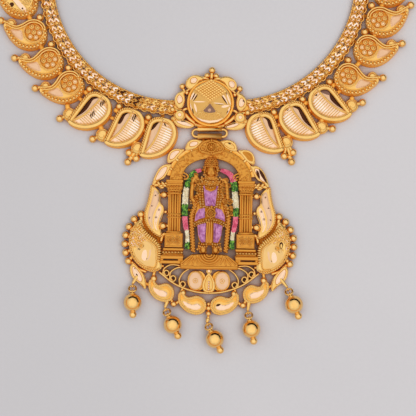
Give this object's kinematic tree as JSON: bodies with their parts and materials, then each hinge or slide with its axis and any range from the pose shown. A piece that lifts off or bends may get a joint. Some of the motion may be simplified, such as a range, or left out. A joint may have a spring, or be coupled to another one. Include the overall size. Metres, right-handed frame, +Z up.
{
  "type": "necklace",
  "caption": "Gold temple necklace: woven band with mango links, a domed crest and a shrine pendant with a standing figure, enamel garlands and ball drops",
  "frame": {"origin": "middle of the outline, on the surface the necklace lies on", "axes": "+Y to the back of the neck and the clasp, the pendant points to -Y, +Z up out of the decorated face, +X to the viewer's right"},
  "size_m": [0.1371, 0.2278, 0.0058],
  "materials": {
    "gold": "polished and diamond-cut yellow gold",
    "woven_gold": "woven wire with small cut facets",
    "matte_gold": "matte cast gold",
    "enamel": "purple enamel",
    "garland": "pink, green and cream enamel"
  },
  "bodies": {
    "root": {"band_left": "woven_gold", "band_right": "woven_gold", "clasp": "gold", "mango_l1": "gold", "mango_l2": "gold", "mango_l3": "gold", "mango_l4": "gold", "mango_l5": "gold", "mango_l6": "gold", "mango_l7": "gold", "mango_r1": "gold", "mango_r2": "gold", "mango_r3": "gold", "mango_r4": "gold", "mango_r5": "gold", "mango_r6": "gold", "mango_r7": "gold", "crest": "gold", "bail_link": "gold", "pendant_frame": "gold", "figure": "matte_gold", "robe": "enamel", "garland_left": "garland", "garland_right": "garland", "drop_ring_1": "gold", "drop_ring_2": "gold", "drop_ring_3": "gold", "drop_ring_4": "gold", "drop_ring_5": "gold", "drop_1": "gold", "drop_2": "gold", "drop_3": "gold", "drop_4": "gold", "drop_5": "gold"}
  },
  "joints": []
}
